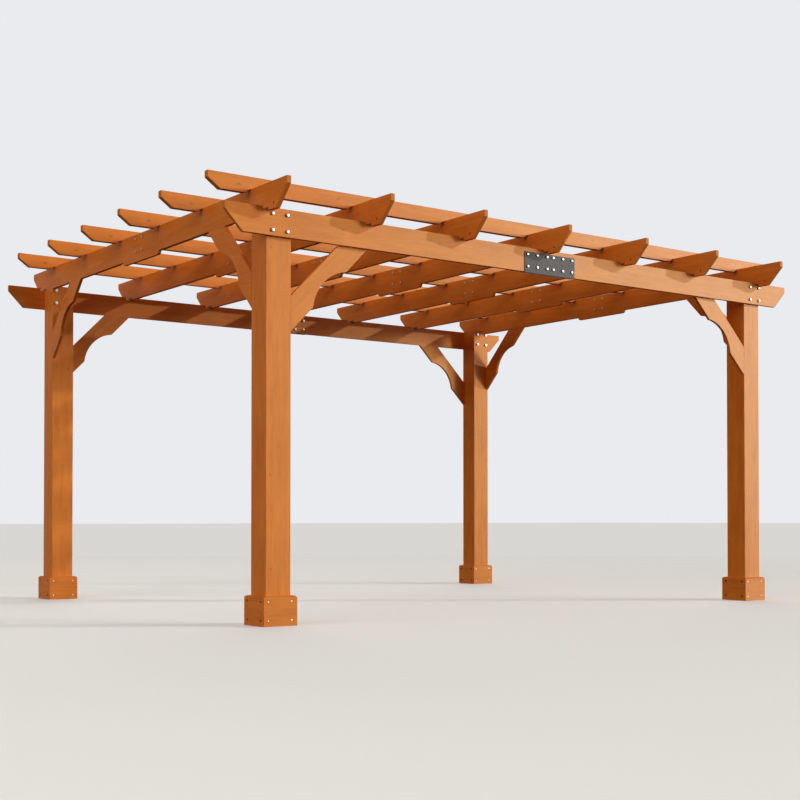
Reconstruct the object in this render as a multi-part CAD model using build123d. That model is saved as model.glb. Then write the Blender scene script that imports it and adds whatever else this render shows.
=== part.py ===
from build123d import *
import os

# Open wooden pergola. Millimetres, +Z up, +X along the beams, -Y to the front.
# The origin is at floor level, in the middle of the four posts.

# Plan and height
post_side = 145.0
post_spacing_x = 3610.0
post_spacing_y = 2790.0
clear_height = 1943.0

# Beams, bolted to the outer faces of the front and rear posts
beam_height = 140.0
beam_thickness = 22.0
beam_overhang = 317.0
beam_end_height = 36.0
beam_slant_run = 101.0

# Rafters, on edge across the two beams
rafter_count = 7
rafter_height = 140.0
rafter_thickness = 24.0
rafter_overhang = 272.0
rafter_end_height = 36.0
rafter_slant_run = 105.0

# Purlins, on edge across the rafters
purlin_count = 6
purlin_height = 84.0
purlin_thickness = 34.0
purlin_end_height = 34.0
purlin_slant_run = 70.0
purlin_inset = 98.0

# Seats: slots in the beams' top edges and notches in the purlins' bottom edges
slot_depth = 18.0
slot_clearance = 30.0
notch_depth = 21.0
notch_mouth = 29.0

# Splice boards, let into the left-hand face of each rafter over its butt joint
splice_length = 480.0
splice_height = 140.0
splice_thickness = 18.0
splice_shift = 22.0
splice_corner = 20.0

# Knee braces, measured from the post's face and from the board above
brace_thickness = 19.0
brace_reach = 465.0
brace_set_back = 285.0
brace_corner = 133.0
brace_arc_middle = 198.0

# Base trim around each post
trim_height = 150.0
trim_thickness = 25.0
trim_chamfer = 8.0

# Steel angle brackets under the middle of each beam
bracket_length = 388.0
bracket_height = 119.5
bracket_thickness = 3.0

# Levels and lines worked out from the dimensions above
beam_bottom = clear_height
beam_top = beam_bottom + beam_height
rafter_bottom = beam_top - slot_depth
rafter_top = rafter_bottom + rafter_height
purlin_bottom = rafter_top - notch_depth
purlin_top = purlin_bottom + purlin_height
splice_bottom = purlin_bottom - splice_height
post_x = post_spacing_x / 2
post_y = post_spacing_y / 2
post_face_x = post_x + post_side / 2
post_face_y = post_y + post_side / 2
inner_face_x = post_x - post_side / 2
inner_face_y = post_y - post_side / 2
beam_reach = post_x + beam_overhang
rafter_reach = post_y + rafter_overhang

rafter_line = post_face_x - rafter_thickness / 2
rafter_pitch = 2 * rafter_line / (rafter_count - 1)
rafter_xs = [-rafter_line + i * rafter_pitch for i in range(rafter_count)]

purlin_line = post_y - purlin_inset
purlin_pitch = 2 * purlin_line / (purlin_count - 1)
purlin_ys = [-purlin_line + i * purlin_pitch for i in range(purlin_count)]

sides_x = {"left": -1, "right": 1}
sides_y = {"front": -1, "rear": 1}


def export(solid, node):
    """Write one node of the pergola."""
    export_step(solid, os.path.join("parts", node + ".step"))


def block(x_span, y_span, z_span):
    """A square-edged block between two limits on each axis."""
    spans = (x_span, y_span, z_span)
    size = [max(s) - min(s) for s in spans]
    middle = [(s[0] + s[1]) / 2 for s in spans]
    return Pos(*middle) * Box(*size)


def board_along_x(edges, y_span):
    """A board standing on edge along X, from its outline's edges."""
    face = make_face(edges)
    return extrude(face, amount=y_span[1] - y_span[0], dir=(0, 1, 0))


def board_along_y(edges, x_span):
    """A board standing on edge along Y, from its outline's edges."""
    face = make_face(edges)
    return extrude(face, amount=x_span[1] - x_span[0], dir=(1, 0, 0))


def tail_points(start, reach, side, bottom, height, end_height, slant_run):
    """Outline of a board from its start to a tail cut with a slant below."""
    top = bottom + height
    tip = side * reach
    return [
        (start, bottom),
        (tip - side * slant_run, bottom),
        (tip, top - end_height),
        (tip, top),
        (start, top),
    ]


def slot(x, y_span):
    """The cut in a beam or post that a rafter stands in, with room on its left."""
    left = x - rafter_thickness / 2 - slot_clearance
    right = x + rafter_thickness / 2
    return block((left, right), y_span, (rafter_bottom, beam_top + slot_depth))


def make_post(x_side, y_side):
    """A square post as tall as the beams, cut for the outer rafter."""
    x = x_side * post_x
    y = y_side * post_y
    half = post_side / 2
    y_span = (y - half, y + half)
    post = block((x - half, x + half), y_span, (0, beam_top))
    return post - slot(x_side * rafter_line, y_span)


def make_trim(x_side, y_side):
    """A collar of mitred boards around the foot of a post."""
    outside = post_side + 2 * trim_thickness
    collar = Box(outside, outside, trim_height)
    top_edges = collar.faces().sort_by(Axis.Z)[-1].edges()
    collar = chamfer(top_edges, trim_chamfer)
    collar = collar - Box(post_side, post_side, trim_height)
    return Pos(x_side * post_x, y_side * post_y, trim_height / 2) * collar


def make_beam_half(x_side, y_side):
    """Half of a beam, from the butt joint at the middle to one tail."""
    near = y_side * post_face_y
    far = y_side * (post_face_y + beam_thickness)
    y_span = (min(near, far), max(near, far))
    points = tail_points(
        0, beam_reach, x_side, beam_bottom, beam_height, beam_end_height, beam_slant_run
    )
    outline = Polyline([(x, y_span[0], z) for x, z in points], close=True)
    beam = board_along_x(outline.edges(), y_span)
    for x in rafter_xs:
        beam = beam - slot(x, y_span)
    return beam


def make_bracket(y_side):
    """A steel angle on the outer face and under the beam's butt joint."""
    inner = y_side * post_face_y
    face = y_side * (post_face_y + beam_thickness)
    front = y_side * (post_face_y + beam_thickness + bracket_thickness)
    half = bracket_length / 2
    low = beam_bottom - bracket_thickness
    plate = block((-half, half), (face, front), (low, low + bracket_height))
    leg = block((-half, half), (inner, front), (low, beam_bottom))
    return plate + leg


def splice_pocket(x):
    """The room for a splice board in a rafter's left-hand face, open below."""
    left = x - rafter_thickness / 2
    return block(
        (left, left + splice_thickness),
        (-splice_shift - splice_length / 2, -splice_shift + splice_length / 2),
        (splice_bottom, purlin_bottom),
    )


def make_rafter_half(x, y_side):
    """Half of a rafter, from the butt joint to one tail, cut for the splice."""
    half = rafter_thickness / 2
    points = tail_points(
        0,
        rafter_reach,
        y_side,
        rafter_bottom,
        rafter_height,
        rafter_end_height,
        rafter_slant_run,
    )
    outline = Polyline([(x - half, y, z) for y, z in points], close=True)
    rafter = board_along_y(outline.edges(), (x - half, x + half))
    return rafter - splice_pocket(x)


def make_splice_board(x):
    """The board that joins a rafter's two halves, flush with the left-hand face."""
    board = splice_pocket(x)
    lower_corners = board.edges().filter_by(Axis.X).sort_by(Axis.Z)[:2]
    return fillet(lower_corners, splice_corner)


def make_purlin(y):
    """A purlin from tail to tail, notched over every rafter."""
    span = (y - purlin_thickness / 2, y + purlin_thickness / 2)
    shape = (purlin_bottom, purlin_height, purlin_end_height, purlin_slant_run)
    right = tail_points(0, beam_reach, 1, *shape)
    left = tail_points(0, beam_reach, -1, *shape)
    points = right[1:4] + left[1:4][::-1]
    outline = Polyline([(x, span[0], z) for x, z in points], close=True)
    purlin = board_along_x(outline.edges(), span)
    for x in rafter_xs:
        purlin = purlin - rafter_notch(x, span)
    return purlin


def rafter_notch(x, y_span):
    """The notch over a rafter, its left side sloping out to a wider mouth."""
    left = x - rafter_thickness / 2
    right = x + rafter_thickness / 2
    mouth = [
        (left - notch_mouth, purlin_bottom),
        (left, rafter_top),
        (right, rafter_top),
        (right, purlin_bottom),
    ]
    outline = Polyline([(px, y_span[0], z) for px, z in mouth], close=True)
    return board_along_x(outline.edges(), y_span)


def brace_edges(place):
    """Outline of a knee brace; place(out, down) gives a point of it in space.

    The brace has a straight back and a concave arc between two 45 degree noses.
    """
    far = brace_reach - brace_corner
    straight = Polyline(
        place(brace_corner, far),
        place(0, brace_reach),
        place(0, brace_set_back),
        place(brace_set_back, 0),
        place(brace_reach, 0),
        place(far, brace_corner),
    )
    arc = ThreePointArc(
        place(far, brace_corner),
        place(brace_arc_middle, brace_arc_middle),
        place(brace_corner, far),
    )
    return straight.edges() + arc.edges()


def make_brace_to_beam(x_side, y_side):
    """The brace between a post and its beam, flush with the post's outer face."""
    outer = y_side * post_face_y
    inner = y_side * (post_face_y - brace_thickness)
    y_span = (min(outer, inner), max(outer, inner))

    def place(out, down):
        return (x_side * (inner_face_x - out), y_span[0], beam_bottom - down)

    return board_along_x(brace_edges(place), y_span)


def make_brace_to_rafter(x_side, y_side):
    """The brace between a post and the outer rafter, right under the rafter."""
    outer = x_side * post_face_x
    inner = x_side * (post_face_x - brace_thickness)
    x_span = (min(outer, inner), max(outer, inner))

    def place(out, down):
        return (x_span[0], y_side * (inner_face_y - out), rafter_bottom - down)

    return board_along_y(brace_edges(place), x_span)


os.makedirs("parts", exist_ok=True)

for y_name, y_side in sides_y.items():
    export(make_bracket(y_side), f"{y_name}_beam_bracket")
    for x_name, x_side in sides_x.items():
        corner = f"{y_name}_{x_name}"
        export(make_post(x_side, y_side), f"{corner}_post")
        export(make_trim(x_side, y_side), f"{corner}_base_trim")
        export(make_beam_half(x_side, y_side), f"{y_name}_beam_{x_name}_half")
        export(make_brace_to_beam(x_side, y_side), f"{corner}_beam_brace")
        export(make_brace_to_rafter(x_side, y_side), f"{corner}_rafter_brace")

for number, x in enumerate(rafter_xs, start=1):
    export(make_splice_board(x), f"rafter_{number}_splice_board")
    for y_name, y_side in sides_y.items():
        export(make_rafter_half(x, y_side), f"rafter_{number}_{y_name}_half")

for number, y in enumerate(purlin_ys, start=1):
    export(make_purlin(y), f"purlin_{number}")
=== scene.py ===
import math
from functools import partial

import bmesh
import bpy
from bpy.props import FloatProperty, FloatVectorProperty, PointerProperty
from mathutils import Euler, Matrix, Vector


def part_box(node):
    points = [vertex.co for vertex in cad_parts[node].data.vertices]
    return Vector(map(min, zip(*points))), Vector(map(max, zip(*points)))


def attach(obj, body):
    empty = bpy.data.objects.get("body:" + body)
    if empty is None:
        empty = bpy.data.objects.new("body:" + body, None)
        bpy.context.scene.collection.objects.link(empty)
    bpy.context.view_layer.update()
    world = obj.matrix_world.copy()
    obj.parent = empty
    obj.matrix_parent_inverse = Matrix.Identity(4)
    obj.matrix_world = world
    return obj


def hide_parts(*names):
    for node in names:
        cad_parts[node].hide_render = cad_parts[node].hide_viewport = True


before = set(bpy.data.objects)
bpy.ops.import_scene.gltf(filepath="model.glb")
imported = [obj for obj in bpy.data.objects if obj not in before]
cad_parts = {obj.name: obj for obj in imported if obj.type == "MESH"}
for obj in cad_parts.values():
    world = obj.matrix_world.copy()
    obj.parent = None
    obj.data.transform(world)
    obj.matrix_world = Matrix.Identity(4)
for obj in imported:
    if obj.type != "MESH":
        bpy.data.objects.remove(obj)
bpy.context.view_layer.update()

bl_info = {
    "name": "Open wooden pergola",
    "version": (1, 0, 0),
    "blender": (4, 5, 0),
    "location": "View3D > Sidebar > Pergola",
    "description": "Finishes the pergola's timber, steel and fasteners and sets up its stage",
    "category": "Object",
}

MM = 0.001

CORNERS = [(y, x) for y in ("front", "rear") for x in ("left", "right")]
RAFTERS = sorted({n.split("_")[1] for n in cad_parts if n.startswith("rafter_")})
PURLINS = sorted(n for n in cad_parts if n.startswith("purlin_"))
SIDE = {"left": -1, "right": 1, "front": -1, "rear": 1}
FACING = {
    "front": Vector((0, -1, 0)),
    "rear": Vector((0, 1, 0)),
    "left": Vector((-1, 0, 0)),
    "right": Vector((1, 0, 0)),
}
UP = Vector((0, 0, 1))
SCREW_DEPTH = 4 * MM
CAMERA_PLACE = (-5.2655, -7.2505, 0.5357)

# Large knots: a point and the radius of the heart, in millimetres
POST_KNOTS = (
    ((-1849, -1468, 1889), 3),
    ((-1847, -1468, 283), 3),
    ((-1853, -1468, 752), 2.5),
    ((-1878, -1340, 1885), 3),
    ((-1769, 1322, 1536), 4),
)
BEAM_KNOTS = (((-1436, -1490, 2024), 3.5), ((-804, -1490, 2026), 3.5))
PURLIN_KNOTS = (
    ((-1946, -1314, 2222), 4.5),
    ((-1946, -795, 2222), 4.5),
    ((-1946, -276, 2222), 4.5),
    ((-1946, 242, 2222), 4.5),
    ((-1946, 761, 2222), 4.5),
    ((-1946, 1280, 2222), 4.5),
    ((-1345, -1314, 2227), 3),
    ((517, -1314, 2236), 4),
)


def linear(hex_colour):
    """An sRGB hex colour as linear red, green, blue and alpha."""
    channels = [int(hex_colour[i : i + 2], 16) / 255 for i in (1, 3, 5)]
    low = [c / 12.92 if c <= 0.04045 else ((c + 0.055) / 1.055) ** 2.4 for c in channels]
    return (*low, 1.0)


def middle(node):
    """The middle of a CAD node's box."""
    low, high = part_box(node)
    return (low + high) / 2


# Sizes and colours that a user would change


class PergolaTimber(bpy.types.PropertyGroup):
    """The stained softwood of the posts, boards and trims."""

    stain: FloatVectorProperty(
        name="Stain",
        description="Colour of the stained wood between its streaks",
        subtype="COLOR",
        size=4,
        min=0,
        max=1,
        default=linear("#DF7B2C"),
    )
    dark_stain: FloatVectorProperty(
        name="Dark stain",
        description="Colour where the wood took more of the stain",
        subtype="COLOR",
        size=4,
        min=0,
        max=1,
        default=linear("#C4631A"),
    )
    knot: FloatVectorProperty(
        name="Knot",
        description="Colour of the heart of a knot",
        subtype="COLOR",
        size=4,
        min=0,
        max=1,
        default=linear("#94400F"),
    )
    end_grain: FloatVectorProperty(
        name="End grain",
        description="Colour of the sawn ends, which drink the most stain",
        subtype="COLOR",
        size=4,
        min=0,
        max=1,
        default=linear("#C96F26"),
    )
    post_edge: FloatProperty(
        name="Post edge",
        description="Width of the eased edges of the posts",
        unit="LENGTH",
        default=2.5 * MM,
    )
    board_edge: FloatProperty(
        name="Board edge",
        description="Width of the eased edges of the boards",
        unit="LENGTH",
        default=1.2 * MM,
    )
    mitre_gap: FloatProperty(
        name="Mitre gap",
        description="Width of the open joint between two trim boards",
        unit="LENGTH",
        default=0.6 * MM,
    )


class PergolaFasteners(bpy.types.PropertyGroup):
    """Bolts, nuts and screws."""

    zinc: FloatVectorProperty(
        name="Zinc",
        description="Colour of the zinc-plated bolts",
        subtype="COLOR",
        size=4,
        min=0,
        max=1,
        default=linear("#C6C3BC"),
    )
    post_bolt: FloatProperty(
        name="Post bolt head",
        description="Diameter of the heads that hold a beam to a post",
        unit="LENGTH",
        default=18 * MM,
    )
    bracket_bolt: FloatProperty(
        name="Bracket bolt head",
        description="Diameter of the heads on a beam bracket",
        unit="LENGTH",
        default=15.5 * MM,
    )
    rafter_bolt: FloatProperty(
        name="Rafter bolt head",
        description="Diameter of the heads at a rafter's splice",
        unit="LENGTH",
        default=17 * MM,
    )
    trim_screw: FloatProperty(
        name="Trim screw mouth",
        description="Width of the countersunk mouths in the base trim",
        unit="LENGTH",
        default=13.5 * MM,
    )


class PergolaStage(bpy.types.PropertyGroup):
    """The floor, the light and the camera."""

    floor: FloatVectorProperty(
        name="Floor",
        description="Colour of the plain floor",
        subtype="COLOR",
        size=4,
        min=0,
        max=1,
        default=linear("#ECEAE6"),
    )
    backdrop: FloatVectorProperty(
        name="Backdrop",
        description="Colour behind the pergola",
        subtype="COLOR",
        size=4,
        min=0,
        max=1,
        default=linear("#E9EBEE"),
    )
    lens: FloatProperty(
        name="Lens",
        description="Focal length in millimetres",
        unit="CAMERA",
        default=60.56,
    )
    rise: FloatProperty(
        name="Rise",
        description="Upward shift of the lens, as a share of the picture",
        default=0.12,
    )
    heading: FloatProperty(
        name="Heading",
        description="Turn of the camera to the right of the pergola's depth",
        subtype="ANGLE",
        default=math.radians(36.067),
    )
    pitch: FloatProperty(
        name="Pitch",
        description="Tilt of the camera above the horizon",
        subtype="ANGLE",
        default=math.radians(0.958),
    )


# Materials


def add_node(tree, kind, inputs=(), output=0, **settings):
    """Add a shader node with its settings and with values or links on its inputs."""
    node = tree.nodes.new("ShaderNode" + kind)
    for name, value in settings.items():
        setattr(node, name, value)
    pairs = inputs.items() if isinstance(inputs, dict) else enumerate(inputs)
    for name, value in pairs:
        if isinstance(value, bpy.types.NodeSocket):
            tree.links.new(value, node.inputs[name])
        else:
            node.inputs[name].default_value = value
    return node.outputs[output]


def new_material(name):
    """An empty material, with its tree and its surface shader."""
    material = bpy.data.materials.new(name)
    material.use_nodes = True
    tree = material.node_tree
    return material, tree, tree.nodes["Principled BSDF"]


# The turn that lays each grain direction along the pattern's own X axis
GRAIN_TURNS = {
    "x": (0, 0, 0),
    "y": (0, 0, -math.pi / 2),
    "z": (0, math.pi / 2, 0),
    "x_up": (0, math.pi / 4, 0),
    "x_down": (0, -math.pi / 4, 0),
    "y_up": (0, math.pi / 4, -math.pi / 2),
    "y_down": (0, -math.pi / 4, -math.pi / 2),
}


def stained_timber(name, grain, cell, cell_start=(0, 0, 0), knots=(), seats=None):
    """Planed softwood under a see-through redwood stain.

    The eye sees an even orange-brown with soft broken streaks along the grain, a
    cloudy shade from the stain, a few small dark knots, and darker sawn ends.
    cell is the spacing of the boards in metres, so that each has its own figure.
    knots holds a point and a radius, in millimetres, for each large knot.
    seats holds how far out the rafters' seats in the beams begin and end, and their top; there
    the wood is painted dark brown as shade.
    """
    timber = bpy.context.scene.pergola_timber
    material, tree, surface = new_material(name)
    add = partial(add_node, tree)
    place = add("TexCoord", output="Object")
    turn = GRAIN_TURNS[grain]

    # Each board reads the pattern at a place of its own
    shifted = add("VectorMath", (place, cell_start), operation="SUBTRACT")
    snapped = add("VectorMath", (shifted, cell), operation="SNAP")
    board = add("TexWhiteNoise", (snapped,), "Color", noise_dimensions="3D")
    board_tone = board.node.outputs["Value"]
    along = add("Mapping", {"Vector": place, "Rotation": turn})
    own = add("VectorMath", (board, (9, 9, 9), along), operation="MULTIPLY_ADD")

    # Noise by how often it repeats in a metre, along the grain and across it: streaks
    # 20 mm wide and finer, fibres 3 mm wide, drawn coarse enough to show, clouds of
    # stain 400 mm long, patches 150 mm long, and the sway of the growth rings
    figure = {}
    for layer, scale, detail in (
        ("streaks", (3.2, 42, 42), 5.0),
        ("fibres", (14, 330, 330), 2.0),
        ("clouds", (2.4, 9, 9), 3.0),
        ("patches", (7, 22, 22), 3.0),
        ("sway", (0.5, 6, 6), 2.0),
        ("wobble", (70, 70, 70), 1.0),
    ):
        scaled = add("VectorMath", (own, scale), operation="MULTIPLY")
        settings = {"Vector": scaled, "Scale": 1.0, "Detail": detail, "Roughness": 0.6}
        figure[layer] = add("TexNoise", settings)

    # Pin knots up to 14 mm wide in a third of the 0.4 m squares, and the large knots
    square, smallest, largest = 0.4, 0.3 * MM, 5 * MM
    parts = add("SeparateXYZ", (own,)).node.outputs
    sideways = add("Math", (parts["Y"], parts["Z"]), operation="ADD")
    flat = add("CombineXYZ", (parts["X"], sideways))
    pins = add("TexVoronoi", {"Vector": flat, "Scale": 1 / square}, voronoi_dimensions="2D")
    away = add("Math", (pins, square), operation="MULTIPLY")
    chance = add("SeparateColor", (pins.node.outputs["Color"],))
    radius = add("MapRange", (chance, 0.7, 1.0, smallest, largest))
    reach = add("Math", (away, radius), operation="DIVIDE")
    drawn_out = Vector((0.5, 1, 1))
    for point, size in knots:
        spot = Vector(point) * -MM
        spot.rotate(Euler(turn))
        gap = add("VectorMath", (along, drawn_out, spot * drawn_out), operation="MULTIPLY_ADD")
        gap = add("VectorMath", (gap,), "Value", operation="LENGTH")
        ratio = add("Math", (gap, size * MM), operation="DIVIDE")
        reach = add("Math", (reach, ratio), operation="MINIMUM")
    reach = add("Math", (figure["wobble"], 0.5, reach), operation="MULTIPLY_ADD")
    heart = add("MapRange", (reach, 0.5, 1.9, 1.0, 0.0), interpolation_type="SMOOTHSTEP")
    halo = add("MapRange", (reach, 1.0, 3.5, 1.0, 0.0), interpolation_type="SMOOTHSTEP")

    # Growth rings round a heart that lies off the board, bent by the knots
    ring_spacing = 9 * MM
    pith = add("VectorMath", (along, (0, 1, 1), (0, 0.03, 0.13)), operation="MULTIPLY_ADD")
    pith = add("VectorMath", (board, (0, 0.2, 0.1), pith), operation="MULTIPLY_ADD")
    rings = add("VectorMath", (pith,), "Value", operation="LENGTH")
    rings = add("Math", (figure["sway"], 0.12, rings), operation="MULTIPLY_ADD")
    rings = add("Math", (halo, 0.006, rings), operation="MULTIPLY_ADD")
    rings = add("Math", (rings, 2 * math.pi / ring_spacing), operation="MULTIPLY")
    rings = add("Math", (rings,), operation="SINE")
    late_wood = add("MapRange", (rings, -0.3, 1.0, 0.0, 1.0))

    # Sawn ends face along the grain
    normal = add("NewGeometry", output="Normal")
    facing = add("Mapping", {"Vector": normal, "Rotation": turn}, vector_type="NORMAL")
    lengthwise = add("SeparateXYZ", (facing,), "X")
    lengthwise = add("Math", (lengthwise,), operation="ABSOLUTE")
    sawn = add("MapRange", (lengthwise, 0.75, 0.9, 0.0, 1.0))

    tone = add("Math", (board_tone, 0.2, -0.34), operation="MULTIPLY_ADD")
    for layer, low, high, share in (
        (figure["streaks"], 0.3, 0.7, 0.58),
        (figure["clouds"], 0.3, 0.7, 0.36),
        (figure["patches"], 0.3, 0.7, 0.3),
        (figure["fibres"], 0.35, 0.65, 0.14),
        (late_wood, 0.0, 1.0, 0.1),
        (halo, 0.0, 1.0, 0.3),
    ):
        shade = add("MapRange", (layer, low, high, 0.0, share))
        tone = add("Math", (tone, shade), operation="ADD")
    stain, dark_stain = tuple(timber.stain), tuple(timber.dark_stain)
    knot, end_grain = tuple(timber.knot), tuple(timber.end_grain)
    wood = add("Mix", {0: tone, 6: stain, 7: dark_stain}, 2, data_type="RGBA")
    end_tone = add("Math", (late_wood, 0.35), operation="MULTIPLY")
    ends = add("Mix", {0: end_tone, 6: end_grain, 7: knot}, 2, data_type="RGBA")
    wood = add("Mix", {0: sawn, 6: wood, 7: ends}, 2, data_type="RGBA")
    knot_tone = add("Math", (heart, 0.6), operation="MULTIPLY")
    wood = add("Mix", {0: knot_tone, 6: wood, 7: knot}, 2, data_type="RGBA")
    if seats:
        # Painted shade: the rafters' wood in the beams' seats is painted dark brown
        near, far, top = seats
        spot = add("SeparateXYZ", (place,)).node.outputs
        out = add("Math", (spot["Y"],), operation="ABSOLUTE")
        beyond = add("MapRange", (out, near, near + MM, 0.0, 1.0))
        within = add("MapRange", (out, far - MM, far, 1.0, 0.0))
        below = add("MapRange", (spot["Z"], top - MM, top, 1.0, 0.0))
        painted_seat_shade = add("Math", (beyond, within), operation="MULTIPLY")
        painted_seat_shade = add("Math", (painted_seat_shade, below), operation="MULTIPLY")
        wood = add("Mix", {0: painted_seat_shade, 6: wood, 7: linear("#7A3C0A")}, 2, data_type="RGBA")
    tree.links.new(wood, surface.inputs["Base Color"])

    # The sealer's faint, slightly yellow sheen, duller on the sawn ends and on the upper
    # and lower edges, where it is worn
    rough = add("Math", (figure["fibres"], 0.16, 0.42), operation="MULTIPLY_ADD")
    rough = add("Math", (sawn, 0.15, rough), operation="MULTIPLY_ADD")
    upward = add("SeparateXYZ", (normal,), "Z")
    upward = add("Math", (upward,), operation="ABSOLUTE")
    bare = add("MapRange", (upward, 0.4, 0.9, 0.0, 0.5))
    rough = add("Math", (rough, bare), operation="ADD", use_clamp=True)
    tree.links.new(rough, surface.inputs["Roughness"])
    surface.inputs["IOR"].default_value = 1.5
    surface.inputs["Specular IOR Level"].default_value = 0.13
    surface.inputs["Specular Tint"].default_value = linear("#F6FFA6")

    relief = add("Math", (late_wood, 0.4, figure["fibres"]), operation="MULTIPLY_ADD")
    grooves = add("Bump", {"Strength": 0.3, "Distance": 0.4 * MM, "Height": relief})
    tree.links.new(grooves, surface.inputs["Normal"])
    return material


def hammered_steel():
    """Dark hammered powder coat on steel: brown-grey, mottled by dimples 12 mm across."""
    material, tree, surface = new_material("hammered_dark_steel")
    add = partial(add_node, tree)
    place = add("TexCoord", output="Object")
    dimples = add("TexVoronoi", {"Vector": place, "Scale": 1 / (12 * MM)}, feature="SMOOTH_F1")
    mottle = add("TexNoise", {"Vector": place, "Scale": 75.0, "Detail": 3.0})
    shade = add("MapRange", (mottle, 0.35, 0.65, 0.0, 1.0))
    dark, light = linear("#1C1510"), linear("#4E4237")
    colour = add("Mix", {0: shade, 6: dark, 7: light}, 2, data_type="RGBA")
    tree.links.new(colour, surface.inputs["Base Color"])
    rough = add("MapRange", (mottle, 0.3, 0.7, 0.36, 0.5))
    tree.links.new(rough, surface.inputs["Roughness"])
    surface.inputs["IOR"].default_value = 1.5
    surface.inputs["Specular IOR Level"].default_value = 0.05
    beaten = add("Bump", {"Strength": 0.7, "Distance": 1 * MM, "Height": dimples})
    tree.links.new(beaten, surface.inputs["Normal"])
    return material


def zinc_plated_steel(name, bright, dulled):
    """Weathered zinc plating: cloudy, with a bright glint on the lit side."""
    material, tree, surface = new_material(name)
    add = partial(add_node, tree)
    place = add("TexCoord", output="Object")
    spangle = add("TexNoise", {"Vector": place, "Scale": 500.0, "Detail": 2.0})
    shade = add("MapRange", (spangle, 0.3, 0.7, 0.0, 1.0))
    colour = add("Mix", {0: shade, 6: bright, 7: dulled}, 2, data_type="RGBA")
    tree.links.new(colour, surface.inputs["Base Color"])
    surface.inputs["Metallic"].default_value = 0.6
    rough = add("MapRange", (spangle, 0.2, 0.8, 0.42, 0.55))
    tree.links.new(rough, surface.inputs["Roughness"])
    return material


def plain_zinc():
    """The zinc of the bolts that the stain didn't touch: silvery grey."""
    bright = tuple(bpy.context.scene.pergola_fasteners.zinc)
    name = "zinc_plated_steel"
    return finish_of(name, zinc_plated_steel, name, bright, linear("#A3A09A"))


def brown_zinc_painted_shade():
    """The zinc of the rafters' bolts: a darker brown copy of the plain zinc, painted as the
    shade on the rafters' sides and as a reflection of the wood round them.
    """
    name = "zinc_under_stain"
    return finish_of(name, zinc_plated_steel, name, linear("#CDA48C"), linear("#8E6A55"))


def cloudy_coat(name, per_metre, one_colour, other_colour, roughness):
    """A coat on steel that drifts between two colours, and its surface shader."""
    material, tree, surface = new_material(name)
    add = partial(add_node, tree)
    place = add("TexCoord", output="Object")
    cloud = add("TexNoise", {"Vector": place, "Scale": per_metre, "Detail": 2.0})
    colours = {0: cloud, 6: linear(one_colour), 7: linear(other_colour)}
    colour = add("Mix", colours, 2, data_type="RGBA")
    tree.links.new(colour, surface.inputs["Base Color"])
    surface.inputs["Roughness"].default_value = roughness
    return material, surface


def bolt_rim_painted_dark():
    """The straight sides of the bolt heads: zinc painted almost black as shade, with hardly a
    shine.
    """
    material, surface = cloudy_coat("bolt_rim_painted_shade", 300, "#1E1A17", "#4A443E", roughness=0.7)
    surface.inputs["Specular IOR Level"].default_value = 0.2
    return material


def yellow_zinc():
    """Yellow zinc plating on a screw head: pale and straw-coloured, with a soft shine."""
    name = "yellow_zinc_screw_head"
    material, surface = cloudy_coat(name, 400, "#E9BC83", "#FBDDB0", roughness=0.45)
    surface.inputs["Metallic"].default_value = 0.3
    return material


def dark_screw_painted_shade():
    """A steel screw head, dark brown and dull: painted shade for the screws in the trims'
    shaded sides and in the toe screws' holes.
    """
    name = "screw_head_painted_shade"
    material, surface = cloudy_coat(name, 400, "#1E0B04", "#451B0A", roughness=0.7)
    surface.inputs["Specular IOR Level"].default_value = 0.1
    return material


def finish_of(name, make, *values):
    """A material by name, made once."""
    return bpy.data.materials.get(name) or make(*values)


# Shapes


def dress_node(node, material, edge):
    """Give a CAD node its material and eased edges."""
    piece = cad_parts[node]
    piece.data.materials.clear()
    piece.data.materials.append(material)
    weld = piece.modifiers.new("join_faces", "WELD")
    weld.merge_threshold = 0.01 * MM
    bevel = piece.modifiers.new("eased_edges", "BEVEL")
    bevel.width = edge
    bevel.segments = 2
    bevel.limit_method = "ANGLE"
    bevel.angle_limit = math.radians(30)


def finish_piece(shape, name, materials, slot, *nodes):
    """Turn a bmesh into a piece that rides on the frame."""
    mesh = bpy.data.meshes.new(name)
    shape.to_mesh(mesh)
    shape.free()
    piece = bpy.data.objects.new(name, mesh)
    bpy.context.scene.collection.objects.link(piece)
    for material in materials:
        mesh.materials.append(material)
    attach(piece, "root")
    if nodes:
        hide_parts(*nodes)


def turned_mesh(name, profile, steps):
    """A round part about the Z axis from its profile of (radius, height) points."""
    shape = bmesh.new()
    corners = [shape.verts.new((radius, 0, height)) for radius, height in profile]
    for first, second in zip(corners, corners[1:]):
        shape.edges.new((first, second))
    bmesh.ops.spin(
        shape,
        geom=shape.verts[:] + shape.edges[:],
        cent=(0, 0, 0),
        axis=(0, 0, 1),
        angle=2 * math.pi,
        steps=steps,
        use_merge=True,
    )
    bmesh.ops.remove_doubles(shape, verts=shape.verts[:], dist=0.001 * MM)
    bmesh.ops.recalc_face_normals(shape, faces=shape.faces[:])
    for face in shape.faces:
        face.smooth = True
    mesh = bpy.data.meshes.new(name)
    shape.to_mesh(mesh)
    shape.free()
    return mesh


def domed_head(diameter, height, rim):
    """A bolt head: a low dome in the first material on a straight rim in the second."""
    half = diameter / 2
    dome = [
        (half * math.cos(math.radians(a)), rim + (height - rim) * math.sin(math.radians(a)))
        for a in (0, 15, 30, 45, 60, 75)
    ]
    mesh = turned_mesh("domed_head", [(0, 0), (half, 0), *dome, (0, height)], 20)
    # The straight sides take the second material, which on the bolts is painted shade
    for face in mesh.polygons:
        if abs(face.normal.z) < 0.1:
            face.material_index = 1
    return mesh


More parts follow.
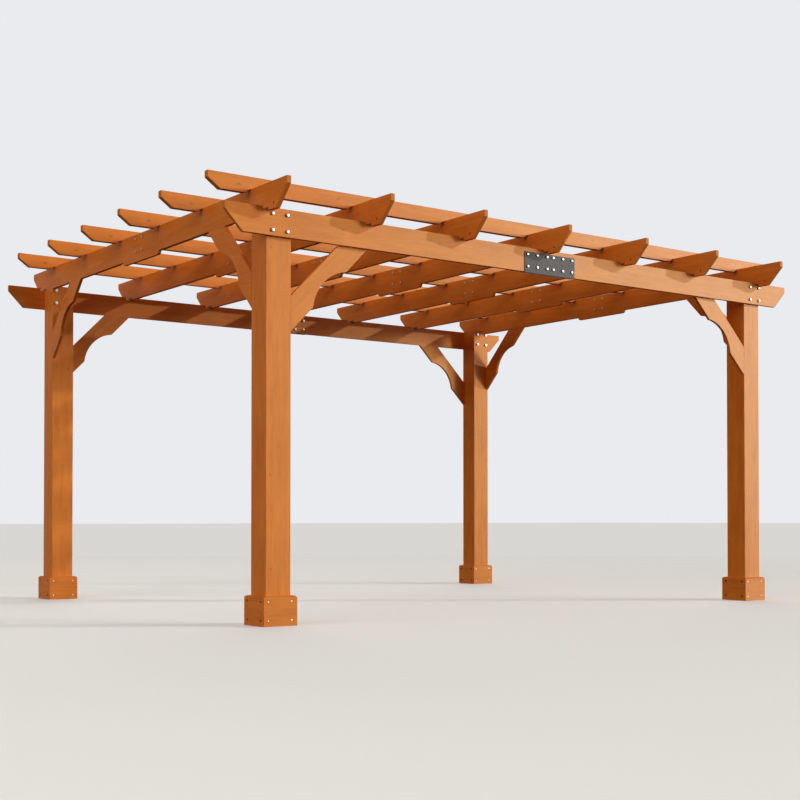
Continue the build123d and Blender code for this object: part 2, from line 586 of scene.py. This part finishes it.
def nut_with_washer(across, washer):
    """A hexagon nut on a washer, with the bolt's end standing out of it."""
    shape = bmesh.new()
    plate, nut, stub = 1.6 * MM, 8 * MM, 4 * MM
    thread = 0.28 * across
    parts = [
        (washer / 2, 24, 0, plate),
        (across / math.sqrt(3), 6, plate, nut),
        (thread, 16, plate + nut, stub),
    ]
    for radius, segments, start, height in parts:
        bmesh.ops.create_cone(
            shape,
            cap_ends=True,
            segments=segments,
            radius1=radius,
            radius2=radius,
            depth=height,
            matrix=Matrix.Translation((0, 0, start + height / 2)),
        )
    bmesh.ops.bevel(
        shape,
        geom=[e for e in shape.edges if e.calc_face_angle(0) > math.radians(80)],
        offset=0.5 * MM,
        segments=1,
        profile=0.5,
        affect="EDGES",
        material=-1,
    )
    mesh = bpy.data.meshes.new("nut_with_washer")
    shape.to_mesh(mesh)
    shape.free()
    return mesh


def place_copies(shape, template, spots):
    """Add a copy of a mesh at each spot: a point and the way its Z axis looks."""
    for point, outward in spots:
        known = set(shape.verts)
        shape.from_mesh(template)
        fresh = [v for v in shape.verts if v not in known]
        turn = Vector(outward).to_track_quat("Z", "Y").to_matrix().to_4x4()
        bmesh.ops.transform(shape, matrix=Matrix.Translation(point) @ turn, verts=fresh)


def trim_board(collar, outward, gap, edge, mouth):
    """One mitred board of a base trim, with a chamfered top edge and countersunk mouths."""
    low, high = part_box(collar)
    post_low, post_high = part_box(collar.replace("base_trim", "post"))
    centre = (low + high) / 2
    reach = (high.x - low.x) / 2
    thick = (high.x - low.x - (post_high.x - post_low.x)) / 2
    height = high.z - low.z
    sideways = Vector((-outward.y, outward.x, 0))
    shape = bmesh.new()
    bmesh.ops.create_cube(shape, size=1)
    turn = Matrix((outward, sideways, UP)).transposed().to_4x4()
    size = Matrix.Diagonal((thick, 2 * reach, height, 1))
    place = Matrix.Translation(centre + outward * (reach - thick / 2))
    bmesh.ops.transform(shape, matrix=place @ turn @ size, verts=shape.verts[:])
    for side in (-1, 1):
        across = (sideways * side - outward).normalized()
        cut_away(shape, centre - across * gap / 2, across)
    chamfer = 8 * MM
    corner = centre + outward * (reach - chamfer) + UP * height / 2
    cut_away(shape, corner, (outward + UP).normalized())
    bmesh.ops.bevel(
        shape,
        geom=shape.edges[:],
        offset=edge,
        segments=2,
        profile=0.5,
        affect="EDGES",
        material=-1,
    )

    # A square the size of each mouth, made an octagon and sunk to the screw's depth
    corner_cut, slope = 0.29 * mouth, 0.2 * mouth
    spots = trim_screw_spots(collar, outward)
    for spot in spots:
        for direction in (sideways, UP):
            for side in (-1, 1):
                bmesh.ops.bisect_plane(
                    shape,
                    geom=shape.verts[:] + shape.edges[:] + shape.faces[:],
                    plane_co=spot + direction * side * mouth / 2,
                    plane_no=direction,
                )
    for spot in spots:
        bmesh.ops.bevel(
            shape,
            geom=nearest_face(shape, spot).verts[:],
            offset=corner_cut,
            segments=1,
            profile=0.5,
            affect="VERTICES",
            material=-1,
        )
        bmesh.ops.inset_individual(
            shape,
            faces=[nearest_face(shape, spot)],
            thickness=slope,
            depth=-SCREW_DEPTH,
        )
    return shape


def trim_screw_spots(collar, outward):
    """Where four screws go through one board of a base trim."""
    spread, heights = 67 * MM, (29 * MM, 123 * MM)
    low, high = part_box(collar)
    face = (low + high) / 2 + outward * (high.x - low.x) / 2
    across = Vector((-outward.y, outward.x, 0)) * spread
    points = [face + across * side for side in (-1, 1)]
    return [Vector((point.x, point.y, height)) for point in points for height in heights]


def nearest_face(shape, point):
    """The face whose middle lies nearest to a point."""
    return min(shape.faces, key=lambda face: (face.calc_center_median() - point).length)


def cut_away(shape, point, direction):
    """Saw a shape on a plane, drop what lies on the far side, and close the cut."""
    cut = bmesh.ops.bisect_plane(
        shape,
        geom=shape.verts[:] + shape.edges[:] + shape.faces[:],
        plane_co=point,
        plane_no=direction,
        clear_outer=True,
    )
    edges = [e for e in cut["geom_cut"] if isinstance(e, bmesh.types.BMEdge)]
    bmesh.ops.contextual_create(shape, geom=edges)
    bmesh.ops.recalc_face_normals(shape, faces=shape.faces[:])


# One operator for each piece or group of like pieces


class PERGOLA_OT_posts(bpy.types.Operator):
    """Finish the four posts: stained softwood with the grain upright"""

    bl_idname = "pergola.posts"
    bl_label = "Posts"

    def execute(self, context):
        start = (0, 0, -10)
        timber = stained_timber("stained_post_timber", "z", (5, 5, 50), start, POST_KNOTS)
        for y_name, x_name in CORNERS:
            node = f"{y_name}_{x_name}_post"
            dress_node(node, timber, context.scene.pergola_timber.post_edge)
        return {"FINISHED"}


class PERGOLA_OT_base_trims(bpy.types.Operator):
    """Build the mitred boards of the four base trims"""

    bl_idname = "pergola.base_trims"
    bl_label = "Base trims"

    def execute(self, context):
        gap = context.scene.pergola_timber.mitre_gap
        edge = context.scene.pergola_timber.board_edge
        mouth = context.scene.pergola_fasteners.trim_screw
        grain_x = stained_timber("stained_trim_timber_x", "x", (5, 0.1, 50), (0, 0, -10))
        grain_y = stained_timber("stained_trim_timber_y", "y", (0.1, 5, 50), (0, 0, -10))
        for y_name, x_name in CORNERS:
            collar = f"{y_name}_{x_name}_base_trim"
            for side, outward in FACING.items():
                timber = grain_x if side in ("front", "rear") else grain_y
                shape = trim_board(collar, outward, gap, edge, mouth)
                finish_piece(shape, f"{collar}_{side}_board", [timber], "trim_timber", collar)
        return {"FINISHED"}


class PERGOLA_OT_beams(bpy.types.Operator):
    """Finish the two beams' halves"""

    bl_idname = "pergola.beams"
    bl_label = "Beams"

    def execute(self, context):
        start = (0, 0, -10)
        timber = stained_timber("stained_beam_timber", "x", (5, 5, 50), start, BEAM_KNOTS)
        for y_name, x_name in CORNERS:
            node = f"{y_name}_beam_{x_name}_half"
            dress_node(node, timber, context.scene.pergola_timber.board_edge)
        return {"FINISHED"}


class PERGOLA_OT_rafters(bpy.types.Operator):
    """Finish the rafters' halves and their splice boards"""

    bl_idname = "pergola.rafters"
    bl_label = "Rafters"

    def execute(self, context):
        edge = context.scene.pergola_timber.board_edge
        first = middle("rafter_1_front_half").x
        pitch = middle("rafter_2_front_half").x - first
        start = (first - pitch / 2, -10, -10)
        beam_low, beam_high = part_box("rear_beam_left_half")
        # The painted seat shade starts 35 mm in from the beams' inner faces and ends at their
        # outer faces
        seat_shade_reach = 35 * MM
        seats = (beam_low.y - seat_shade_reach, beam_high.y, beam_high.z)
        timber = stained_timber(
            "stained_rafter_timber", "y", (pitch, 50, 50), start, seats=seats
        )
        for number in RAFTERS:
            for y_name in ("front", "rear"):
                dress_node(f"rafter_{number}_{y_name}_half", timber, edge)
            dress_node(f"rafter_{number}_splice_board", timber, edge)
        return {"FINISHED"}


class PERGOLA_OT_purlins(bpy.types.Operator):
    """Finish the purlins"""

    bl_idname = "pergola.purlins"
    bl_label = "Purlins"

    def execute(self, context):
        first = middle("purlin_1").y
        pitch = middle("purlin_2").y - first
        start = (-10, first - pitch / 2, -10)
        timber = stained_timber(
            "stained_purlin_timber", "x", (50, pitch, 50), start, PURLIN_KNOTS
        )
        for node in PURLINS:
            dress_node(node, timber, context.scene.pergola_timber.board_edge)
        return {"FINISHED"}


class PERGOLA_OT_braces(bpy.types.Operator):
    """Finish the eight knee braces, with the grain along each brace"""

    bl_idname = "pergola.braces"
    bl_label = "Knee braces"

    def execute(self, context):
        edge = context.scene.pergola_timber.board_edge
        for y_name, x_name in CORNERS:
            corner = f"{y_name}_{x_name}"
            to_beam = "x_up" if x_name == "left" else "x_down"
            to_rafter = "y_up" if y_name == "front" else "y_down"
            for kind, grain in (("beam", to_beam), ("rafter", to_rafter)):
                name = f"stained_brace_timber_{grain}"
                cell, start = (5, 5, 50), (0, 0, -10)
                timber = finish_of(name, stained_timber, name, grain, cell, start)
                dress_node(f"{corner}_{kind}_brace", timber, edge)
        return {"FINISHED"}


class PERGOLA_OT_brackets(bpy.types.Operator):
    """Finish the two steel angles under the beams' butt joints"""

    bl_idname = "pergola.brackets"
    bl_label = "Beam brackets"

    def execute(self, context):
        steel = hammered_steel()
        edge = 0.8 * MM
        for y_name in ("front", "rear"):
            dress_node(f"{y_name}_beam_bracket", steel, edge)
        return {"FINISHED"}


class PERGOLA_OT_post_bolts(bpy.types.Operator):
    """Put four bolts through each beam and post"""

    bl_idname = "pergola.post_bolts"
    bl_label = "Post bolts"

    def execute(self, context):
        fasteners = context.scene.pergola_fasteners
        zinc = plain_zinc()
        # The heads' straight sides are painted almost black as shade
        rim = finish_of("bolt_rim_painted_shade", bolt_rim_painted_dark)
        head = domed_head(fasteners.post_bolt, height=9.5 * MM, rim=6 * MM)
        nut = nut_with_washer(across=17 * MM, washer=fasteners.post_bolt)
        columns = (-43 * MM, 43 * MM)
        rows = (30 * MM, 113 * MM)
        shift = 5.5 * MM
        for y_name, x_name in CORNERS:
            side = SIDE[y_name]
            post_low, post_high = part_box(f"{y_name}_{x_name}_post")
            beam_low, beam_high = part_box(f"{y_name}_beam_{x_name}_half")
            outer = beam_low.y if side < 0 else beam_high.y
            inner = post_high.y if side < 0 else post_low.y
            centre = (post_low.x + post_high.x) / 2 + SIDE[x_name] * shift
            spots = [(centre + column, beam_high.z - row) for column in columns for row in rows]
            shape = bmesh.new()
            place_copies(shape, head, [((x, outer, z), (0, side, 0)) for x, z in spots])
            place_copies(shape, nut, [((x, inner, z), (0, -side, 0)) for x, z in spots])
            finish_piece(shape, f"{y_name}_{x_name}_post_bolts", [zinc, rim], "bracket_steel")
        return {"FINISHED"}


class PERGOLA_OT_bracket_bolts(bpy.types.Operator):
    """Put twelve bolts through each bracket and its beam"""

    bl_idname = "pergola.bracket_bolts"
    bl_label = "Bracket bolts"

    def execute(self, context):
        fasteners = context.scene.pergola_fasteners
        zinc = plain_zinc()
        # The heads' straight sides are painted almost black as shade
        rim = finish_of("bolt_rim_painted_shade", bolt_rim_painted_dark)
        head = domed_head(fasteners.bracket_bolt, height=7.5 * MM, rim=4.5 * MM)
        nut = nut_with_washer(across=13 * MM, washer=fasteners.bracket_bolt)
        columns = [column * MM for column in (-171, -98.6, -23.7, 23.7, 98.6, 171)]
        rows = (15.5 * MM, 85 * MM)
        for y_name in ("front", "rear"):
            side = SIDE[y_name]
            low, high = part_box(f"{y_name}_beam_bracket")
            outer = low.y if side < 0 else high.y
            inner = high.y if side < 0 else low.y
            spots = [(column, high.z - row) for column in columns for row in rows]
            shape = bmesh.new()
            place_copies(shape, head, [((x, outer, z), (0, side, 0)) for x, z in spots])
            place_copies(shape, nut, [((x, inner, z), (0, -side, 0)) for x, z in spots])
            finish_piece(shape, f"{y_name}_bracket_bolts", [zinc, rim], "bracket_steel")
        return {"FINISHED"}


class PERGOLA_OT_rafter_bolts(bpy.types.Operator):
    """Put four bolts through each rafter and its splice board"""

    bl_idname = "pergola.rafter_bolts"
    bl_label = "Rafter bolts"

    def execute(self, context):
        fasteners = context.scene.pergola_fasteners
        # Brown zinc, painted as shade and as a reflection of the wood round the bolts
        zinc = brown_zinc_painted_shade()
        # The heads' straight sides are painted almost black as shade
        rim = finish_of("bolt_rim_painted_shade", bolt_rim_painted_dark)
        head = domed_head(fasteners.rafter_bolt, height=6 * MM, rim=2.5 * MM)
        nut = nut_with_washer(across=13 * MM, washer=fasteners.rafter_bolt)
        columns = (-43 * MM, 43 * MM)
        rows = (28 * MM, 102 * MM)
        for number in RAFTERS:
            low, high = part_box(f"rafter_{number}_front_half")
            spots = [(column, high.z - row) for column in columns for row in rows]
            shape = bmesh.new()
            place_copies(shape, head, [((low.x, y, z), (-1, 0, 0)) for y, z in spots])
            place_copies(shape, nut, [((high.x, y, z), (1, 0, 0)) for y, z in spots])
            finish_piece(shape, f"rafter_{number}_bolts", [zinc, rim], "bracket_steel")
        return {"FINISHED"}


class PERGOLA_OT_trim_screws(bpy.types.Operator):
    """Put a screw head at the bottom of each mouth in the base trims"""

    bl_idname = "pergola.trim_screws"
    bl_label = "Trim screws"

    def execute(self, context):
        bright = yellow_zinc()
        # The screws at the left and right are painted dark brown as shade
        dark = finish_of("screw_head_painted_shade", dark_screw_painted_shade)
        mouth = context.scene.pergola_fasteners.trim_screw
        for y_name, x_name in CORNERS:
            collar = f"{y_name}_{x_name}_base_trim"
            shape = bmesh.new()
            for side, outward in FACING.items():
                # At the left and right the heads are wider and sit almost at the face, and are
                # painted dark brown as shade
                shaded_side = side in ("left", "right")
                width, depth = (0.85, 0.4) if shaded_side else (0.62, 1.0)
                head = domed_head(width * mouth, height=1.2 * MM, rim=0.4 * MM)
                for face in head.polygons:
                    face.material_index = int(shaded_side)
                sunk = outward * depth * SCREW_DEPTH
                spots = [(s - sunk, outward) for s in trim_screw_spots(collar, outward)]
                place_copies(shape, head, spots)
            finish_piece(shape, f"{collar}_screws", [bright, dark], "bracket_steel")
        return {"FINISHED"}


class PERGOLA_OT_toe_screws(bpy.types.Operator):
    """Mark the slanted screws that hold each rafter down beside the beams, with dark ovals
    painted as the shade in their holes
    """

    bl_idname = "pergola.toe_screws"
    bl_label = "Toe screws"

    def execute(self, context):
        # Each mark is a flat dark brown oval, painted shade for a screw's hole
        dark = finish_of("screw_head_painted_shade", dark_screw_painted_shade)
        mouth = domed_head(8 * MM, height=0.6 * MM, rim=0.2 * MM)
        stretch = 1.7
        mouth.transform(Matrix.Diagonal((1, stretch, 1, 1)))
        reach, lift = 1541 * MM, 30 * MM
        for number in RAFTERS:
            shape = bmesh.new()
            for y_name in ("front", "rear"):
                low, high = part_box(f"rafter_{number}_{y_name}_half")
                point = (low.x, SIDE[y_name] * reach, low.z + lift)
                place_copies(shape, mouth, [(point, (-1, 0, 0))])
            finish_piece(shape, f"rafter_{number}_toe_screws", [dark], "bracket_steel")
        return {"FINISHED"}


class PERGOLA_OT_stage(bpy.types.Operator):
    """Set up the plain floor, the soft studio light and the camera"""

    bl_idname = "pergola.stage"
    bl_label = "Stage"

    def execute(self, context):
        stage = context.scene.pergola_stage
        make_floor(stage)
        make_backdrop(stage)
        make_lamps()
        make_camera(stage)
        context.scene.view_settings.view_transform = "Standard"
        return {"FINISHED"}


def seen_or_reflected(tree):
    """1 for what the camera sees directly, in a reflection or through glass."""
    path = add_node(tree, "LightPath").node.outputs
    rays = (path["Is Camera Ray"], path["Is Glossy Ray"])
    direct = add_node(tree, "Math", rays, operation="MAXIMUM")
    return add_node(tree, "Math", (direct, path["Is Transmission Ray"]), operation="MAXIMUM")


def make_floor(stage):
    """A wide plain floor that looks pale and keeps the pergola's shadow.

    Far from the pergola it shines by itself, so that no lamp leaves a pool of light there.
    """
    half_side = 120
    shape = bmesh.new()
    bmesh.ops.create_grid(shape, x_segments=8, y_segments=8, size=half_side)
    mesh = bpy.data.meshes.new("floor")
    shape.to_mesh(mesh)
    shape.free()
    floor = bpy.data.objects.new("floor", mesh)
    bpy.context.scene.collection.objects.link(floor)
    material, tree, surface = new_material("plain_floor")

    # Pale where it is seen, but dark to the light that it would throw back at the pergola
    seen = seen_or_reflected(tree)
    pale, dark, black = tuple(stage.floor), linear("#43352A"), linear("#000000")
    colour = add_node(tree, "Mix", {0: seen, 6: dark, 7: pale}, 2, data_type="RGBA")

    # It glows faintly near the pergola too; between these distances its own glow takes over
    # from the lamps
    near_end, far_start = 6.5, 13.0
    spot = add_node(tree, "TexCoord", output="Object")
    distance = add_node(tree, "VectorMath", (spot,), "Value", operation="LENGTH")
    far = add_node(tree, "MapRange", (distance, near_end, far_start))
    colour = add_node(tree, "Mix", {0: far, 6: colour, 7: black}, 2, data_type="RGBA")
    tree.links.new(colour, surface.inputs["Base Color"])
    shine = add_node(tree, "MapRange", (distance, near_end, far_start, 0.2, 0.82))
    shine = add_node(tree, "Math", (seen, shine), operation="MULTIPLY")
    tree.links.new(shine, surface.inputs["Emission Strength"])
    surface.inputs["Emission Color"].default_value = pale
    surface.inputs["Roughness"].default_value = 0.9
    surface.inputs["Specular IOR Level"].default_value = 0.0
    mesh.materials.append(material)


def make_backdrop(stage):
    """A pale even backdrop, and a softer even light from it."""
    world = bpy.data.worlds.new("backdrop")
    bpy.context.scene.world = world
    world.use_nodes = True
    tree = world.node_tree
    sky = tree.nodes["Background"]
    seen = seen_or_reflected(tree)
    white, pale = linear("#FFFFFF"), tuple(stage.backdrop)
    colour = add_node(tree, "Mix", {0: seen, 6: white, 7: pale}, 2, data_type="RGBA")
    tree.links.new(colour, sky.inputs["Color"])
    strength = add_node(tree, "MapRange", (seen, 0.0, 1.0, 0.2, 1.0))
    tree.links.new(strength, sky.inputs["Strength"])


def make_lamps():
    """A low key light from the right of the front, and broad soft light round it.

    The shine and the card are only seen in reflections, as a photographer's cards are.
    """
    towards_sun = (1.46, -1.0, 0.745)
    make_sun("key", towards_sun, strength=1.0, spread=1.5, colour="#FFF4E6")
    shine = make_sun("key_shine", towards_sun, strength=4.0, spread=1.5)
    make_sun("broad_key", (0.9, -1.0, 0.16), strength=1.8, spread=12)
    make_softbox("left_softbox", (-22.0, -5.5, 8.5), size=(24, 12), power=2300)
    make_sun("rear_fill", (0.7, 1.0, 0.45), strength=1.5, spread=50)
    card = make_softbox("right_card", (9.0, -10.0, 2.4), size=(8, 5), power=2550)
    for lamp in (shine, card):
        lamp.visible_diffuse = False


def make_sun(name, direction, strength, spread, colour="#FFFFFF"):
    """A far lamp in a direction, with its spread in degrees."""
    lamp = bpy.data.lights.new(name, "SUN")
    lamp.energy = strength
    lamp.angle = math.radians(spread)
    lamp.color = linear(colour)[:3]
    sun = bpy.data.objects.new(name, lamp)
    bpy.context.scene.collection.objects.link(sun)
    sun.rotation_euler = Vector(direction).to_track_quat("Z", "Y").to_euler()
    return sun


def make_softbox(name, place, size, power):
    """A wide soft lamp that looks at the middle of the pergola."""
    lamp = bpy.data.lights.new(name, "AREA")
    lamp.shape = "RECTANGLE"
    lamp.size, lamp.size_y = size
    lamp.energy = power
    box = bpy.data.objects.new(name, lamp)
    bpy.context.scene.collection.objects.link(box)
    box.location = place
    target = Vector((0, 0, 1.2))
    box.rotation_euler = (box.location - target).to_track_quat("Z", "Y").to_euler()
    box.visible_camera = False
    return box


def make_camera(stage):
    """The camera at the photograph's place and angle."""
    camera = bpy.data.cameras.new("camera")
    camera.lens = stage.lens
    camera.sensor_width = 36
    camera.shift_y = stage.rise
    camera.clip_end = 400
    view = bpy.data.objects.new("camera", camera)
    bpy.context.scene.collection.objects.link(view)
    view.location = CAMERA_PLACE
    view.rotation_euler = (math.pi / 2 + stage.pitch, 0, -stage.heading)
    bpy.context.scene.camera = view


class PERGOLA_PT_panel(bpy.types.Panel):
    """The pergola's settings and steps"""

    bl_idname = "PERGOLA_PT_panel"
    bl_label = "Pergola"
    bl_space_type = "VIEW_3D"
    bl_region_type = "UI"
    bl_category = "Pergola"

    def draw(self, context):
        for group in (
            context.scene.pergola_timber,
            context.scene.pergola_fasteners,
            context.scene.pergola_stage,
        ):
            box = self.layout.box()
            for name in group.__annotations__:
                box.prop(group, name)
        for step in STEPS:
            self.layout.operator(step.bl_idname)


GROUPS = (PergolaTimber, PergolaFasteners, PergolaStage)
STEPS = (
    PERGOLA_OT_posts,
    PERGOLA_OT_base_trims,
    PERGOLA_OT_beams,
    PERGOLA_OT_rafters,
    PERGOLA_OT_purlins,
    PERGOLA_OT_braces,
    PERGOLA_OT_brackets,
    PERGOLA_OT_post_bolts,
    PERGOLA_OT_bracket_bolts,
    PERGOLA_OT_rafter_bolts,
    PERGOLA_OT_trim_screws,
    PERGOLA_OT_toe_screws,
    PERGOLA_OT_stage,
)


def register():
    """Register the settings, the steps and the panel."""
    for item in (*GROUPS, *STEPS, PERGOLA_PT_panel):
        bpy.utils.register_class(item)
    bpy.types.Scene.pergola_timber = PointerProperty(type=PergolaTimber)
    bpy.types.Scene.pergola_fasteners = PointerProperty(type=PergolaFasteners)
    bpy.types.Scene.pergola_stage = PointerProperty(type=PergolaStage)


def unregister():
    """Remove what register added."""
    del bpy.types.Scene.pergola_timber
    del bpy.types.Scene.pergola_fasteners
    del bpy.types.Scene.pergola_stage
    for item in reversed((*GROUPS, *STEPS, PERGOLA_PT_panel)):
        bpy.utils.unregister_class(item)


def main():
    """Run every step in order."""
    register()
    bpy.ops.pergola.posts()
    bpy.ops.pergola.base_trims()
    bpy.ops.pergola.beams()
    bpy.ops.pergola.rafters()
    bpy.ops.pergola.purlins()
    bpy.ops.pergola.braces()
    bpy.ops.pergola.brackets()
    bpy.ops.pergola.post_bolts()
    bpy.ops.pergola.bracket_bolts()
    bpy.ops.pergola.rafter_bolts()
    bpy.ops.pergola.trim_screws()
    bpy.ops.pergola.toe_screws()
    bpy.ops.pergola.stage()


if __name__ == "__main__":
    main()
